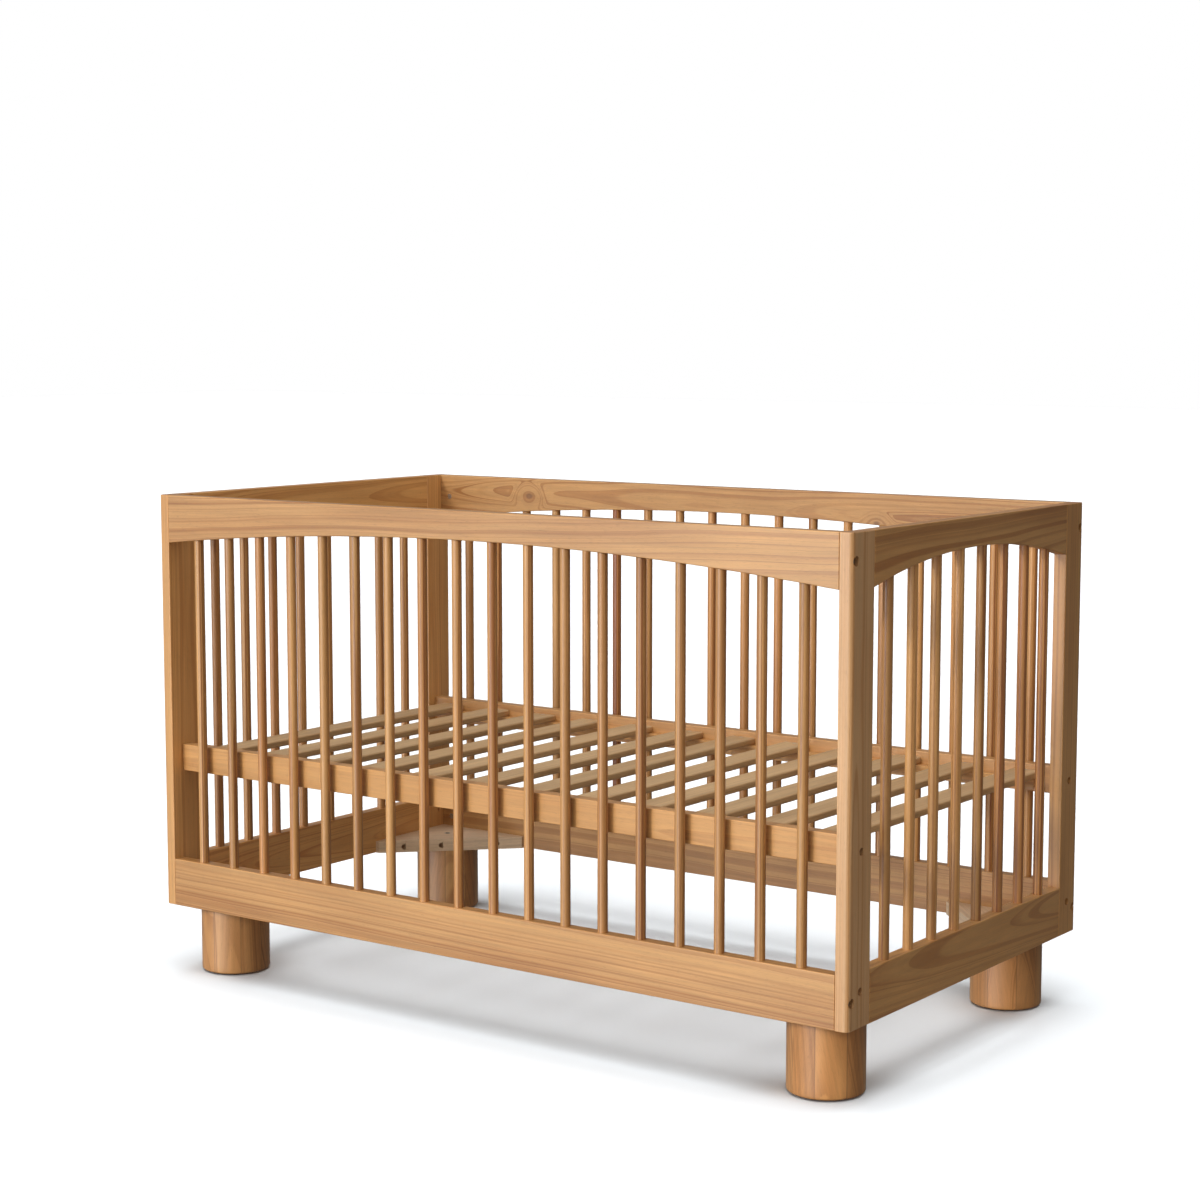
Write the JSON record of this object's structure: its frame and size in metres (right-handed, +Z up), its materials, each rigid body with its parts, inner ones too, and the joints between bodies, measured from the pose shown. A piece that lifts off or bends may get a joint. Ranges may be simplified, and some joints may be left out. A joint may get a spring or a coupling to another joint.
{
  "type": "baby crib",
  "caption": "Wooden crib with arched top rails, round spindles, round feet and a slatted mattress base that bolts on at an upper or a lower height.",
  "frame": {"origin": "on the floor, under the centre of the crib", "axes": "+X along the length to the right end, +Y from the front to the rear, +Z up"},
  "size_m": [1.37, 0.755, 0.836],
  "materials": {
    "pine": "satin clear lacquer on solid pine",
    "spindle_pine": "satin clear lacquer on turned pine",
    "foot_pine": "satin clear lacquer on staves glued up and turned",
    "slat_pine": "bare planed softwood",
    "plate_board": "pale grey painted plywood",
    "dowel": "bare fluted hardwood",
    "glide": "dark felt-faced pad",
    "zinc_steel": "zinc plated"
  },
  "bodies": {
    "crib_frame": {"post_front_left": "pine", "corner_plate_front_left": "plate_board", "foot_front_left": "foot_pine", "glide_front_left": "glide", "post_front_right": "pine", "corner_plate_front_right": "plate_board", "foot_front_right": "foot_pine", "glide_front_right": "glide", "post_rear_left": "pine", "corner_plate_rear_left": "plate_board", "foot_rear_left": "foot_pine", "glide_rear_left": "glide", "post_rear_right": "pine", "corner_plate_rear_right": "plate_board", "foot_rear_right": "foot_pine", "glide_rear_right": "glide", "end_top_rail_left": "pine", "end_bottom_rail_left": "pine", "spindles_left": "spindle_pine", "end_top_rail_right": "pine", "end_bottom_rail_right": "pine", "spindles_right": "spindle_pine", "top_rail_front": "pine", "bottom_rail_front": "pine", "spindles_front": "spindle_pine", "top_rail_rear": "pine", "bottom_rail_rear": "pine", "spindles_rear": "spindle_pine", "end_frame_dowels": "dowel", "side_rail_dowels": "dowel", "frame_bolts": "zinc_steel", "frame_barrel_nuts": "zinc_steel", "base_bolts": "zinc_steel", "foot_bolts": "zinc_steel", "foot_insert_nuts": "zinc_steel", "corner_plate_screws": "zinc_steel"},
    "mattress_base": {"base_rail_front": "pine", "base_ledger_front": "slat_pine", "base_rail_rear": "pine", "base_ledger_rear": "slat_pine", "slat_01": "slat_pine", "slat_02": "slat_pine", "slat_03": "slat_pine", "slat_04": "slat_pine", "slat_05": "slat_pine", "slat_06": "slat_pine", "slat_07": "slat_pine", "slat_08": "slat_pine", "slat_09": "slat_pine", "slat_10": "slat_pine", "slat_11": "slat_pine", "slat_12": "slat_pine", "base_barrel_nuts": "zinc_steel", "slat_screws": "zinc_steel"}
  },
  "joints": [
    {"name": "base_height", "type": "slide", "parent": "crib_frame", "child": "mattress_base", "axis": [0, 0, 1], "range_m": [-0.204, 0]}
  ]
}
